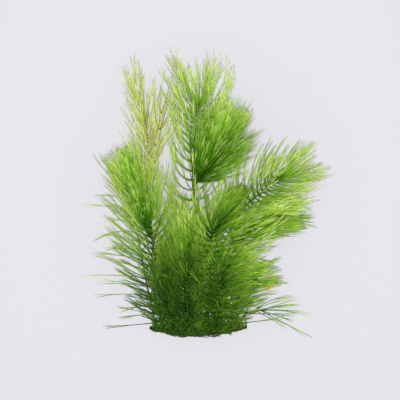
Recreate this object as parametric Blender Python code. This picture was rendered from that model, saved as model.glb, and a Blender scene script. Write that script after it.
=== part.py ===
"""A hornwort plant, as picked: one short creeping stem and the shoots that branch from it.

It lies on a surface at z = 0 with its tips towards +Y, pressed down by its own weight.
Every shoot is one solid: a stem with whorls of forked leaves grown out of it.
"""

from dataclasses import dataclass

import bmesh
import bpy
import numpy as np
from mathutils import Vector

MILLIMETRE = 0.001

# Driving dimensions, in millimetres
CREEPING_STEM_RADIUS = 1.2
STEM_RADIUS = 0.85
STEM_TIP_RADIUS = 0.55
BUD_LENGTH = 2.5
BAND_HEIGHT = 0.85
FORK_WIDTH = 1.0
FORK_THICKNESS = 0.6
PRESS_SOFTNESS = 2.0
FOOT_Y = -70.8
FOOT_Z = 6.0
FOOT_MIDDLE = -6.5
FOOT_HALF = 24.0
FOOT_BOW = 3.0
FOOT_OVERHANG = 1.5
PLANT_MIDDLE = (-4.6, -0.7)

# Gaps between pieces, between a piece's own leaves, and at a branch's foot, in millimetres
GAP = 0.35
GAP_IN_SHOOT = 0.12
FOOT_GAP = 0.8
ROD_REACH = 2.0

# Shapes, as counts, shares of a length and shares of a leaf's direction
STEM_SIDES = 6
STEM_RODS = 24
CREEPING_STEM_RINGS = 9
CURVE_STEPS = 16
LEAF_STEPS = 10
FORK_STEP = 5
BEND_POWER = 0.7
PRONG_SPREAD = 0.17
SHORT_PRONG = 0.88
WHORL_CROWDING = 1.45
GROWN_SHARE = 0.95
YOUNG_LENGTH = 0.8
DROOP = -0.3
STEEPEST_FORK = 0.95

# How a leaf varies, and how much more with every try to find it room
TRIES_PER_LEAF = 22
LENGTH_RANGE = (0.94, 1.04)
SHORTENING_PER_TRY = 0.02
ROD_SPOTS = 13
ON_STEM = -1

# Angles, in degrees
YOUNG_OPENING = 22.0
LEAF_TURN = 15.0
ANGLE_SPREAD = 4.0
SPREAD_PER_TRY = 1.2
SMOOTH_BELOW = 50.0

LEAF_GREEN = (0.16, 0.38, 0.03, 1.0)
PALE_GREEN = (0.42, 0.50, 0.10, 1.0)
DEEP_GREEN = (0.08, 0.25, 0.02, 1.0)
STEM_GREEN = (0.12, 0.20, 0.03, 1.0)


@dataclass
class Shoot:
    """A branch: its stem's centre line from foot to tip, and how its leaves stand.

    leaf, opening, closing and lean are each stated at even steps from the shoot's foot to its last
    grown whorl. A leaf leaves the stem at the angle opening, and its own tip makes the angle closing
    with the stem. The leaves drift towards lean. The first whorl is at the share first of the stem.
    The stem starts inside its parent, whose radius is parent_radius.
    """

    name: str
    points: list
    whorls: int
    leaf: tuple
    opening: tuple
    closing: tuple
    lean: tuple = ((0.0, 0.0, 0.0),)
    first: float = 0.07
    parent_radius: float = CREEPING_STEM_RADIUS
    colour: tuple = LEAF_GREEN


def foot(x):
    """A shoot's foot: a point of the creeping stem, which is bowed towards the plant at both its ends."""
    return x, FOOT_Y + FOOT_BOW * ((x - FOOT_MIDDLE) / FOOT_HALF) ** 2, FOOT_Z


SHOOTS = [
    Shoot(
        "tall_shoot",
        [foot(-6), (-5.8, -65, 10), (-5.5, -48, 17), (-6, -28, 20), (-7, -10.5, 21), (-8.5, 6, 22),
         (-8, 22, 22), (-7.3, 34, 22), (-6, 44.5, 21)],
        whorls=12, leaf=(10, 16, 22, 26, 27, 30, 31, 29, 34), opening=(60, 75, 72, 70, 84, 98, 92, 66, 70),
        closing=(22, 22, 15, 12, 6, -6, -10, -2, 16),
        lean=((0, 0.1, 0), (0, 0.1, 0), (0, 0.1, 0), (0, 0.1, 0), (-0.4, 0.1, 0)),
    ),
    Shoot(
        "dense_shoot",
        [(-8.5, 4, 22), (-6, 7, 25), (-3, 11.5, 27), (1, 18, 28), (4, 24, 28), (6, 28.5, 27.5)],
        whorls=8, leaf=(33, 32, 28, 24), opening=(46, 50, 50, 38), closing=(20, 24, 22, 6), first=0.18,
        parent_radius=STEM_RADIUS, colour=DEEP_GREEN,
    ),
    Shoot(
        "right_shoot",
        [foot(6.5), (6.6, -65, 10), (8, -48, 14), (11, -28, 16), (15, -13, 17), (18.5, -5.5, 18),
         (26, 1, 19), (32, 5.7, 20), (37, 8.8, 20)],
        whorls=11, leaf=(10, 22, 28, 33, 28), opening=(60, 80, 82, 82, 68), closing=(30, 40, 36, 30, 14),
        lean=((0.2, 0, 0), (0.45, -0.1, 0), (0.2, 0, 0), (0.05, 0, 0)),
    ),
    Shoot(
        "centre_shoot",
        [foot(-1.5), (-1.3, -65, 11), (-0.5, -48, 20), (0, -30.5, 25), (1, -19, 28), (4, -15, 29),
         (8, -9.5, 29)],
        whorls=10, leaf=(10, 20, 30, 31, 21), opening=(60, 75, 88, 80, 24), closing=(25, 50, 72, 60, 2),
        lean=((0.05, 0, 0), (0.3, 0, 0), (0.5, 0, 0), (0.4, 0, 0), (0, 0.05, 0)),
    ),
    Shoot(
        "left_shoot",
        [foot(-23.5), (-24.2, -65, 9), (-27.5, -53, 13), (-28.5, -35.5, 16), (-29, -22, 17),
         (-31.3, -11, 18), (-34, -3, 18), (-36.3, 2, 18)],
        whorls=11, leaf=(9, 20, 29, 31, 33), opening=(55, 75, 70, 58, 38), closing=(20, 45, 44, 22, 6),
        lean=((-0.1, 0, 0), (-0.3, 0, 0), (-0.2, 0, 0), (0, 0, 0)),
    ),
    Shoot(
        "left_side_shoot",
        [(-30, -20.5, 17.3), (-31.2, -19, 21.5), (-33, -10, 26), (-36, 0, 28), (-39, 9.5, 28)],
        whorls=6, leaf=(20, 18), opening=(38, 18), closing=(12, 0), lean=((-0.05, 0.1, 0),), first=0.2,
        parent_radius=STEM_RADIUS, colour=DEEP_GREEN,
    ),
    Shoot(
        "pale_shoot",
        [foot(-20), (-20.3, -65, 7), (-23.5, -48, 8), (-26.5, -23, 8), (-29, 2, 8), (-28, 19.5, 9),
         (-25.5, 32, 10), (-24.5, 41, 11)],
        whorls=8, leaf=(10, 24, 25), opening=(50, 50, 30), closing=(30, 14, 0),
        lean=((-0.3, 0.1, 0), (-0.4, 0.1, 0), (-0.6, 0.1, 0), (-0.7, 0.1, 0), (0.1, 0.1, 0)),
        colour=PALE_GREEN,
    ),
    Shoot(
        "pale_side_shoot",
        [(-29, 4, 8), (-30.8, 7, 7.6), (-31, 15, 7), (-30.6, 22, 7.3), (-31.8, 31, 7.7), (-33.5, 39, 8),
         (-35.5, 46, 8)],
        whorls=5, leaf=(28, 28, 25), opening=(56, 36, 20), closing=(40, 14, 4),
        lean=((-0.3, 0, 0), (-0.1, 0.1, 0), (0.04, 0.1, 0)), first=0.2, parent_radius=STEM_RADIUS,
        colour=PALE_GREEN,
    ),
    Shoot(
        "right_low_shoot",
        [(10.5, -30, 16), (13.5, -28, 13.5), (17, -21.5, 10), (23, -16, 9), (28.5, -13, 9), (31.5, -12, 9)],
        whorls=7, leaf=(26, 25), opening=(66, 46), closing=(42, 12), lean=((0.35, -0.1, 0),), first=0.18,
        parent_radius=STEM_RADIUS,
    ),
    Shoot(
        "low_right_shoot",
        [foot(10.5), (10.7, -66, 10), (12.5, -57.5, 16), (15, -50.5, 18), (18, -46, 18),
         (21.5, -43.5, 18)],
        whorls=6, leaf=(9, 20, 20), opening=(60, 60, 40), closing=(30, 30, 8), lean=((0.3, 0.15, 0),),
    ),
    Shoot(
        "inner_right_shoot",
        [foot(2.5), (2.7, -65, 11), (4.5, -54, 20), (6.5, -44, 24), (8.5, -34.5, 25)],
        whorls=6, leaf=(9, 23, 26), opening=(60, 80, 68), closing=(45, 62, 56),
        lean=((0.3, 0, 0), (0.6, 0, 0)),
    ),
    Shoot(
        "inner_middle_shoot",
        [foot(-10.2), (-10.4, -65, 11), (-11.5, -54, 21), (-11.5, -42.5, 25), (-11, -31.5, 26),
         (-10.2, -23, 26)],
        whorls=6, leaf=(9, 20, 22), opening=(60, 60, 42), closing=(30, 22, 4), lean=((0, 0.15, 0),),
    ),
    Shoot(
        "inner_left_shoot",
        [foot(-17), (-17.2, -65, 10), (-20.5, -54, 18), (-21.5, -43.5, 21), (-21, -36, 22)],
        whorls=5, leaf=(9, 20, 18), opening=(60, 60, 40), closing=(30, 22, 2), lean=((-0.1, 0.15, 0),),
    ),
    Shoot(
        "middle_shoot",
        [foot(-13.5), (-13.8, -66, 9), (-16, -48, 12), (-16.5, -28, 12), (-16.3, -20, 12), (-16, -13, 12)],
        whorls=7, leaf=(9, 23, 19), opening=(60, 58, 40), closing=(30, 20, 4), lean=((0.05, 0.1, 0),),
    ),
    Shoot(
        "low_left_shoot",
        [foot(-27), (-27.6, -66, 7), (-29.5, -57, 7.5), (-32.5, -43, 7), (-35, -29, 7), (-37.5, -17, 7),
         (-39.5, -6, 7)],
        whorls=7, leaf=(25, 35, 30), opening=(85, 62, 48), closing=(80, 85, 95),
        lean=((-0.4, 0, 0), (-0.2, 0.1, 0)),
    ),
    Shoot(
        "trailing_shoot",
        [foot(14), (14.6, -66.5, 6.5), (17, -62, 6.5), (22, -59, 6.5), (27, -59, 6.5)],
        whorls=3, leaf=(22, 34), opening=(75, 30), closing=(50, 12), lean=((0.1, -0.2, 0),), first=0.25,
    ),
]

CREEPING_STEM = [foot(-30.5), foot(-20), foot(-10), foot(0), foot(9), foot(17.5)]


def unit(vectors):
    """The vectors, each divided by its length."""
    return vectors / np.maximum(np.linalg.norm(vectors, axis=-1, keepdims=True), 1e-9)


def smooth_line(points):
    """A curve through the points, each stretch a cubic whose ends follow the neighbouring points."""
    points = np.array(points, float)
    ends = np.vstack([2 * points[0] - points[1], points, 2 * points[-1] - points[-2]])
    t = np.linspace(0, 1, CURVE_STEPS, endpoint=False)[:, None]
    stretches = [
        0.5 * (2 * b + (c - a) * t + (2 * a - 5 * b + 4 * c - d) * t**2 + (3 * b - a - 3 * c + d) * t**3)
        for a, b, c, d in zip(ends[:-3], ends[1:-2], ends[2:-1], ends[3:])
    ]
    return np.vstack(stretches + [points[-1:]]) - np.array([*PLANT_MIDDLE, 0.0])


def along(line, distances):
    """The points of a line at some distances from its start, and its direction there."""
    lengths = np.concatenate([[0], np.cumsum(np.linalg.norm(np.diff(line, axis=0), axis=1))])
    direction = unit(np.gradient(line, axis=0))
    at = np.stack([np.interp(distances, lengths, line[:, k]) for k in range(3)], axis=1)
    facing = np.stack([np.interp(distances, lengths, direction[:, k]) for k in range(3)], axis=1)
    return at, unit(facing)


def line_length(line):
    return float(np.linalg.norm(np.diff(line, axis=0), axis=1).sum())


def cross_axes(facing):
    """Two axes square to a direction: one level, and one that points up from it."""
    level = unit(np.cross(facing, [0.0, 0.0, 1.0]))
    return level, np.cross(level, facing)


def leaf_line(root, facing, radial, length, opening, closing, lean):
    """A leaf's centre line: it leaves the stem at the angle opening and turns towards closing.

    Where it would pass below its resting height it is bent up to lie along the surface, and keeps
    its length.
    """
    share = (np.arange(LEAF_STEPS) + 0.5) / LEAF_STEPS
    angle = np.radians(opening + (closing - opening) * share**BEND_POWER)[:, None]
    way = unit(np.cos(angle) * facing + np.sin(angle) * radial + share[:, None] * lean)
    step = length / LEAF_STEPS
    rest = 0.5 * FORK_THICKNESS
    free = np.concatenate([[0], np.cumsum(way[:, 2] * step)]) + root[2] - rest
    lift = 0.5 * (free + np.hypot(free, PRESS_SOFTNESS))
    lift = np.maximum(lift - (lift[0] - free[0]), 0)
    forward = np.sqrt(np.maximum(step**2 - np.diff(lift) ** 2, 0))[:, None]
    level = root[:2] + np.vstack([[0, 0], np.cumsum(unit(way[:, :2]) * forward, axis=0)])
    return np.column_stack([level, lift + rest])


class Room:
    """The space that stems and leaves have taken, as tapered rods, to keep new leaves clear of it."""

    def __init__(self):
        self.starts, self.ends = np.zeros((0, 3)), np.zeros((0, 3))
        self.radii, self.owners = np.zeros((0, 2)), np.zeros((0, 2), int)

    def take(self, starts, ends, radii, shoot, whorl):
        self.starts = np.vstack([self.starts, starts])
        self.ends = np.vstack([self.ends, ends])
        self.radii = np.vstack([self.radii, radii])
        self.owners = np.vstack([self.owners, np.tile([shoot, whorl], (len(starts), 1))])

    def is_clear(self, starts, ends, radii, shoot, whorl):
        """Whether a leaf's rods keep their gap to all others.

        The first third of its shaft may be near its own stem and the other leaves of its whorl.
        """
        share = np.linspace(0, 1, ROD_SPOTS)[None, :, None]
        spots = starts[:, None] + share * (ends - starts)[:, None]
        thick = radii[:, :1] + share[..., 0] * (radii[:, 1:] - radii[:, :1])
        low, high = spots.min(axis=(0, 1)) - ROD_REACH, spots.max(axis=(0, 1)) + ROD_REACH
        near = (np.minimum(self.starts, self.ends) < high).all(axis=1)
        near &= (np.maximum(self.starts, self.ends) > low).all(axis=1)
        begin, run, girth = self.starts[near], (self.ends - self.starts)[near], self.radii[near]
        place = np.einsum("abnk,nk->abn", spots[:, :, None] - begin, run)
        place = np.clip(place / np.maximum((run**2).sum(axis=1), 1e-9), 0, 1)
        apart = np.linalg.norm(spots[:, :, None] - begin - place[..., None] * run, axis=3)
        apart -= thick[..., None] + girth[:, 0] + place * (girth[:, 1] - girth[:, 0])
        own = self.owners[near, 0] == shoot
        beside = own & np.isin(self.owners[near, 1], [whorl, ON_STEM])
        clear = apart > np.where(own, GAP_IN_SHOOT, GAP)
        clear[0, : ROD_SPOTS // 3, beside] = True
        return bool(clear.all())


class Leaf:
    """One forked leaf: where it forks, the axes there and its two tips."""

    def __init__(self, root, facing, radial, length, opening, closing, lean, slant):
        line = leaf_line(root, facing, radial, length, opening, closing, lean)
        self.root, self.fork, self.slant = root, line[FORK_STEP], slant
        prong = line[-1] - self.fork
        way, across = unit(prong), np.cross(facing, radial)
        self.is_steep = abs(across @ way) > STEEPEST_FORK
        self.wide = unit(across - (across @ way) * way)
        self.thick = np.cross(way, self.wide)
        self.spread = unit(self.wide * FORK_WIDTH - slant * self.thick * FORK_THICKNESS)
        aside = PRONG_SPREAD * np.linalg.norm(prong) * self.spread
        self.tips = self.fork + np.array([prong + aside, SHORT_PRONG * (prong - aside)])
        self.tips[:, 2] = np.maximum(self.tips[:, 2], 0.5 * FORK_THICKNESS)

    def rods(self):
        half = 0.5 * np.hypot(FORK_WIDTH, FORK_THICKNESS)
        starts = np.array([self.root, self.fork, self.fork])
        ends = np.array([self.fork, *self.tips])
        return starts, ends, np.array([[half, half], [half, 0.0], [half, 0.0]])

    def fits(self, room, shoot, whorl):
        """Whether the leaf is clear of all others and doesn't reach back past the plant's foot."""
        starts, ends, radii = self.rods()
        past_foot = ends[:, 1].min() < FOOT_Y - FOOT_OVERHANG - PLANT_MIDDLE[1]
        return not self.is_steep and not past_foot and room.is_clear(starts, ends, radii, shoot, whorl)


def stated(values, share):
    """Values stated at even steps from the foot to the last grown whorl, read at one share."""
    values = np.array(values, float).reshape(len(values), -1)
    steps = np.linspace(0, GROWN_SHARE, len(values))
    return np.array([np.interp(share, steps, column) for column in values.T])


def find_room(room, shoot, number, whorl, root, facing, radial, share, rng):
    """A leaf for one place on a stem, turned a little or shortened until it is clear, or None."""
    across = np.cross(facing, radial)
    youth = np.clip((share - GROWN_SHARE) / (1 - GROWN_SHARE), 0, 1)
    grown_length = stated(shoot.leaf, share)[0] * (1 - (1 - YOUNG_LENGTH) * youth)
    grown_opening = stated(shoot.opening, share)[0] * (1 - youth) + YOUNG_OPENING * youth
    for attempt in range(TRIES_PER_LEAF):
        loose = ANGLE_SPREAD + SPREAD_PER_TRY * attempt
        turn = np.radians(LEAF_TURN * rng.uniform(-1, 1))
        turned = np.cos(turn) * radial + np.sin(turn) * across
        length = grown_length * (rng.uniform(*LENGTH_RANGE) - SHORTENING_PER_TRY * attempt)
        opening = grown_opening + rng.normal(0, loose)
        closing = stated(shoot.closing, share)[0] + rng.normal(0, loose)
        drift = stated(shoot.lean, share) + [0, 0, DROOP]
        leaf = Leaf(root, facing, turned, length, opening, closing, drift, rng.choice([-1, 1]))
        if leaf.fits(room, number, whorl):
            room.take(*leaf.rods(), number, whorl)
            return leaf
    return None


def add_ring(bm, centre, facing, radius, turn):
    level, up = cross_axes(facing)
    angles = turn + 2 * np.pi * np.arange(STEM_SIDES) / STEM_SIDES
    return [bm.verts.new(centre + radius * (np.cos(a) * level - np.sin(a) * up)) for a in angles]


def add_side_faces(bm, lower, upper):
    """The stem's faces between two rings, in the order of their corners."""
    return [
        bm.faces.new((lower[j], lower[(j + 1) % STEM_SIDES], upper[(j + 1) % STEM_SIDES], upper[j]))
        for j in range(STEM_SIDES)
    ]


def draw_leaf(bm, face, leaf, facing):
    """Extrudes a band face to the leaf's fork, splits it there and draws each half out to a tip."""
    middle = face.calc_center_median()
    face.normal_update()
    along_stem = Vector(facing)
    across = along_stem.cross(face.normal)
    outer = bmesh.ops.extrude_discrete_faces(bm, faces=[face])["faces"][0]
    corners = {}
    for vert in outer.verts:
        offset = vert.co - middle
        side = 1 if offset.dot(across) > 0 else -1
        height = 1 if offset.dot(along_stem) > 0 else -1
        corners[side, height] = vert
        place = leaf.fork + 0.5 * (side * FORK_WIDTH * leaf.wide + height * FORK_THICKNESS * leaf.thick)
        vert.co = (place[0], place[1], max(place[2], 0.0))
    split = bmesh.utils.face_split(outer, corners[-1, -leaf.slant], corners[1, leaf.slant])[0]
    for half in (outer, split):
        towards = half.calc_center_median() - Vector(leaf.fork)
        tip = leaf.tips[0 if towards.dot(Vector(leaf.spread)) > 0 else 1]
        point = bmesh.ops.poke(bm, faces=[half])["verts"][0]
        point.co = tip


def whorl_places(shoot, length):
    """How far along its stem each whorl sits: they crowd towards the tip."""
    step = np.linspace(0, 1, shoot.whorls)
    share = shoot.first + (1 - shoot.first) * (1 - (1 - step) ** WHORL_CROWDING)
    return share, share * (length - BAND_HEIGHT)


def shoot_line(shoot):
    """The shoot's centre line, cut off at its foot so that it starts just clear of its parent's skin."""
    line = smooth_line(shoot.points)
    return along(line, np.linspace(shoot.parent_radius + FOOT_GAP, line_length(line), STEM_RODS + 1))[0]


def build_shoot(shoot, number, line, room):
    """The mesh of one shoot: its stem with a band at every whorl, a bud, and the leaves."""
    rng = np.random.default_rng(number)
    shares, places = whorl_places(shoot, line_length(line))
    bm = bmesh.new()
    foot_at, foot_facing = along(line, [0.0])
    previous = add_ring(bm, foot_at[0], foot_facing[0], STEM_RADIUS, 0.0)
    bm.faces.new(previous[::-1])
    grown = 0
    for whorl, (share, place) in enumerate(zip(shares, places)):
        at, facing = along(line, [place, place + BAND_HEIGHT])
        radius = np.interp(share, [0, 1], [STEM_RADIUS, STEM_TIP_RADIUS])
        turn = np.pi / STEM_SIDES * (whorl % 2)
        lower = add_ring(bm, at[0], facing[0], radius, turn)
        upper = add_ring(bm, at[1], facing[0], radius, turn)
        add_side_faces(bm, previous, lower)
        band = add_side_faces(bm, lower, upper)
        level, up = cross_axes(facing[0])
        for j, face in enumerate(band):
            angle = turn + 2 * np.pi * (j + 0.5) / STEM_SIDES
            radial = np.cos(angle) * level - np.sin(angle) * up
            root = np.array(face.calc_center_median())
            leaf = find_room(room, shoot, number, whorl, root, facing[0], radial, share, rng)
            if leaf:
                draw_leaf(bm, face, leaf, facing[0])
                grown += 1
        previous = upper
    bud = bm.verts.new(at[1] + facing[1] * BUD_LENGTH)
    for j in range(STEM_SIDES):
        bm.faces.new((previous[j], previous[(j + 1) % STEM_SIDES], bud))
    print(f"{shoot.name}: {shoot.whorls} whorls, {grown} leaves")
    return bm


def build_creeping_stem(line):
    """The stem that the shoots branch from: a plain rod between its two cut ends."""
    bm = bmesh.new()
    at, facing = along(line, np.linspace(0, line_length(line), CREEPING_STEM_RINGS))
    rings = [add_ring(bm, p, f, CREEPING_STEM_RADIUS, 0.0) for p, f in zip(at, facing)]
    for lower, upper in zip(rings, rings[1:]):
        add_side_faces(bm, lower, upper)
    bm.faces.new(rings[0][::-1])
    bm.faces.new(rings[-1])
    return bm


def finish(bm, name, colour):
    """Turns a mesh in millimetres into an object in metres with its own material."""
    bmesh.ops.triangulate(bm, faces=bm.faces)
    bmesh.ops.recalc_face_normals(bm, faces=bm.faces)
    bmesh.ops.scale(bm, vec=Vector((MILLIMETRE,) * 3), verts=bm.verts)
    mesh = bpy.data.meshes.new(name)
    bm.to_mesh(mesh)
    bm.free()
    mesh.shade_smooth()
    mesh.set_sharp_from_angle(angle=np.radians(SMOOTH_BELOW))
    material = bpy.data.materials.new(name)
    material.use_nodes = True
    shader = material.node_tree.nodes["Principled BSDF"]
    shader.inputs["Base Color"].default_value = colour
    shader.inputs["Roughness"].default_value = 0.5
    shader.inputs["Metallic"].default_value = 0.0
    mesh.materials.append(material)
    piece = bpy.data.objects.new(name, mesh)
    bpy.context.collection.objects.link(piece)


def build_plant():
    for old in list(bpy.data.objects):
        bpy.data.objects.remove(old)
    creeping = smooth_line(CREEPING_STEM)
    lines = [shoot_line(shoot) for shoot in SHOOTS]
    room = Room()
    creeping_radii = np.full((len(creeping) - 1, 2), CREEPING_STEM_RADIUS)
    room.take(creeping[:-1], creeping[1:], creeping_radii, len(SHOOTS), ON_STEM)
    for number, line in enumerate(lines):
        room.take(line[:-1], line[1:], np.full((STEM_RODS, 2), STEM_RADIUS), number, ON_STEM)
    finish(build_creeping_stem(creeping), "creeping_stem", STEM_GREEN)
    for number, (shoot, line) in enumerate(zip(SHOOTS, lines)):
        finish(build_shoot(shoot, number, line, room), shoot.name, shoot.colour)


build_plant()
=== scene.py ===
# %% [markdown]
# # A hornwort, lying as picked
#
# Hornwort is a soft green plant with no roots. Its stems carry rings of hair-thin leaves, and every leaf
# forks twice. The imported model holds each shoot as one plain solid. Here each solid is replaced by its
# real foliage: a stem with swollen nodes and a few hundred forked leaves.
#
# Blender could grow foliage with particles or hair, but neither leaves a mesh that another program can
# open. So the leaves are worked out as numpy arrays, a whole shoot at a time, and handed to Blender as
# finished meshes.

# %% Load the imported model
from dataclasses import dataclass

import bpy
import numpy as np
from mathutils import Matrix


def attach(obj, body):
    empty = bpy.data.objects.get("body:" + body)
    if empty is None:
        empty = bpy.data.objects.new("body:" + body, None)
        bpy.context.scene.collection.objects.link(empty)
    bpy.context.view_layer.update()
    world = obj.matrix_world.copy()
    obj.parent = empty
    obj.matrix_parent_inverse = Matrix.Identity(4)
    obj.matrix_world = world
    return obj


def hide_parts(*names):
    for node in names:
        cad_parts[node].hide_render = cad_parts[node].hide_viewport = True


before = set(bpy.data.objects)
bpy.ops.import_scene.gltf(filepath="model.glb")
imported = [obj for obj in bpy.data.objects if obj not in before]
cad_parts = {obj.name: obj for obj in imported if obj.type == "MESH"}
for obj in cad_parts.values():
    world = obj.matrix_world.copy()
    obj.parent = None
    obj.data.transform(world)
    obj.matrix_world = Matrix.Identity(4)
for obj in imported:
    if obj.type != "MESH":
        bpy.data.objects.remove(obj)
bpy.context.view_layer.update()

MILLIMETRE = 0.001


# %% [markdown]
# ## The foot
#
# All the main shoots rise from one short creeping stem. It could be a straight bar, but a living one
# bends, so it is a shallow bow. Giving the bow as a formula lets every shoot start exactly on it, found
# from its x alone.
#
# All places are in millimetres, on a plant that lies on z = 0 with its tips towards +Y. They are counted
# from a point near its middle. PLANT_MIDDLE is the middle itself, and is taken off them later.

# %% Place the foot
PLANT_MIDDLE = np.array([-4.6, -0.7, 0.0])
FOOT_Y, FOOT_Z = -70.8, 6.0
FOOT_MIDDLE, FOOT_HALF, FOOT_BOW = -6.5, 24.0, 3.0
FOOT_LEFT, FOOT_RIGHT = -30.5, 17.5


def foot(x):
    """A point of the creeping stem: its y rises as the square of the distance from its middle."""
    return x, FOOT_Y + FOOT_BOW * ((x - FOOT_MIDDLE) / FOOT_HALF) ** 2, FOOT_Z


print("y at the foot's two ends:", [round(foot(x)[1], 1) for x in (FOOT_LEFT, FOOT_RIGHT)], "mm")

# %% [markdown]
# ## What a shoot is
#
# A shoot is the centre line of its stem and a rule for its leaves. A leaf leaves the stem at the angle
# opening, and its tip makes the angle closing with the stem. Both differ from old whorls to young ones,
# so a shoot states them at even steps along its stem. The same goes for the leaf's length, and for the
# way that it is combed, its lean.
#
# One typical shoot could be copied and turned. Here every shoot has its own row, because no two are
# alike: some are combed open like a feather and others are closed like a brush. Parting says which: at 1
# the leaves of a whorl gather at the stem's two sides, and at 0 they stand all round it.

# %% Say what a shoot is
GREEN, PALE, DEEP, OLD = "green", "pale", "deep", "shaded_old"


@dataclass
class Shoot:
    """A branch: its stem's points from foot to tip, its whorls, and how its leaves stand and look.

    The leaf's length, opening, closing, lean and parting are each stated at even steps from the foot to
    the last grown whorl, and so is light, painted light or shade that makes leaves paler or darker than
    their place does. First is where the first whorl sits, as a share of the stem, and crowding says how
    much closer the whorls come towards the tip. The stem's two radii are those at its foot and tip.
    Thickness widens every leaf, scatter is that of the closing angles in degrees, and withered lists
    places, as x, y and radius, where leaf ends have died.
    """

    name: str
    points: list
    whorls: int
    leaf: tuple
    opening: tuple
    closing: tuple
    lean: tuple = ((0.0, 0.0, 0.0),)
    first: float = 0.03
    in_whorl: int = 12
    crowding: float = 1.9
    parting: tuple = (0.5,)
    stem: tuple = (0.75, 0.4)
    thickness: float = 1.0
    scatter: float = 5.0
    tint: str = GREEN
    light: tuple = (0.0,)
    withered: tuple = ()


SHOOTS = []


def add_shoots(*rows):
    """Puts shoots on the list. Their order counts, because a shoot's place there seeds its random draws."""
    SHOOTS.extend(rows)
    print(f"{len(SHOOTS)} shoots so far, the new ones with", [shoot.whorls for shoot in rows], "whorls")


# %% [markdown]
# ## The tallest shoot and its branch
#
# The tallest shoot stands in the middle. Its old leaves are long and single. They leave the stem at right
# angles and curl up in arcs, so their closing angle falls below zero. Its branch at the upper right is
# the opposite, a thick deep green brush with leaves all round, whose low light values paint it in shade.
# Both could share one rule, but then the open one would fill up and the brush would thin out.

# %% List the tallest shoot and its branch
add_shoots(
    Shoot("tall_shoot",
          [foot(-6), (-5.8, -65, 10), (-5.5, -48, 17), (-6, -28, 20), (-7, -10.5, 21), (-8.5, 6, 22),
           (-8, 22, 22), (-7.3, 34, 22), (-6, 44.5, 21)],
          whorls=29, leaf=(12, 16, 22, 26, 27, 30, 31, 29, 36),
          opening=(60, 75, 72, 70, 84, 98, 92, 66, 74), closing=(22, 22, 15, 12, 6, -6, -10, -2, 20),
          lean=((0, 0.1, 0), (0, 0.1, 0), (0, 0.1, 0), (0, 0.1, 0), (-0.4, 0.1, 0)),
          parting=(1, 1, 1, 1, 1, 1, 1, 0.9, 0.6), in_whorl=7, crowding=2.0, light=(0, 0, 0.08, 0.15)),
    Shoot("dense_shoot",
          [(-8.5, 4, 22), (-6, 7, 25), (-3, 11.5, 27), (1, 18, 28), (4, 24, 28), (6, 28.5, 27.5)],
          whorls=28, leaf=(33, 33, 28, 24), opening=(50, 52, 50, 38), closing=(18, 24, 23, 6), first=0.14,
          in_whorl=13, crowding=1.25, parting=(0.0,), tint=DEEP, light=(-0.55, -0.7, -0.6, -0.1)),
)

# %% [markdown]
# ## The right shoot and the centre one
#
# The right shoot leans far out. Its leaves part to the stem's two sides, so the stem shows between them
# like the quill of a feather. The centre shoot lies on top of the others. Its old leaves spread wide over
# them, and its young ones close round the tip. That makes a dark tuft, painted in shade, so the last value
# of its light is well below zero.

# %% List the right shoot and the centre one
add_shoots(
    Shoot("right_shoot",
          [foot(6.5), (6.6, -65, 10), (8, -48, 14), (11, -28, 16), (15, -13, 17), (18.5, -5.5, 18),
           (26, 1, 19), (32, 5.7, 20), (37, 8.8, 20)],
          whorls=30, leaf=(12, 22, 28, 33, 28), opening=(60, 80, 82, 82, 68), closing=(30, 40, 36, 30, 14),
          lean=((0.2, 0, 0), (0.45, -0.1, 0), (0.2, 0, 0), (0.05, 0, 0)),
          parting=(1, 1, 1, 1, 0.4), in_whorl=9, crowding=1.65, light=(0, 0, 0, -0.03, 0.05, -0.05)),
    Shoot("centre_shoot",
          [foot(-1.5), (-1.3, -65, 11), (-0.5, -48, 20), (0, -30.5, 25), (1, -19, 28), (4, -15, 29),
           (8, -9.5, 29)],
          whorls=32, leaf=(12, 20, 30, 31, 21), opening=(60, 75, 88, 80, 22), closing=(25, 50, 72, 60, 0),
          lean=((0.05, 0, 0), (0.3, 0, 0), (0.5, 0, 0), (0.4, 0, 0), (0, 0.05, 0)),
          parting=(0.7, 0.7, 0.9, 1.0, 0.0), in_whorl=13, crowding=2.3, light=(0, 0, -0.05, -0.1, -0.5)),
)

# %% [markdown]
# ## The left shoot and its branch
#
# The left shoot is an open one. Its branch is a short tuft of leaves that stand so close that they read
# as one soft surface. A shorter leaf and a small opening angle make it so, where more leaves alone would
# only make it darker.

# %% List the left shoot and its branch
add_shoots(
    Shoot("left_shoot",
          [foot(-23.5), (-24.2, -65, 9), (-27.5, -53, 13), (-28.5, -35.5, 16), (-29, -22, 17),
           (-31.3, -11, 18), (-34, -3, 18), (-36.3, 2, 18)],
          whorls=30, leaf=(10, 20, 29, 31, 33), opening=(55, 75, 70, 58, 38), closing=(20, 46, 44, 22, 6),
          lean=((-0.1, 0, 0), (-0.3, 0, 0), (-0.2, 0, 0), (0, 0, 0)), parting=(1, 1, 1, 1, 0.5),
          in_whorl=10, crowding=1.6, light=(0, 0, -0.06, -0.1, -0.12)),
    # Its low light values paint this tuft in shade.
    Shoot("left_side_shoot",
          [(-30, -20.5, 17.3), (-31.2, -19, 21.5), (-33, -10, 26), (-36, 0, 28), (-39, 9.5, 28)],
          whorls=20, leaf=(20, 18), opening=(32, 15), closing=(8, 0), lean=((-0.05, 0.1, 0),), first=0.2,
          in_whorl=10, crowding=1.5, parting=(0.0,), tint=DEEP, light=(-0.8, -0.6, -0.25)),
)

# %% [markdown]
# ## The pale shoots
#
# Two thin yellowish shoots lie lowest, at the upper left. They are the airiest, and the floor shows
# through them. A few full whorls would look like beads on a string, so the branch has many whorls of only
# three leaves each.

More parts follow.
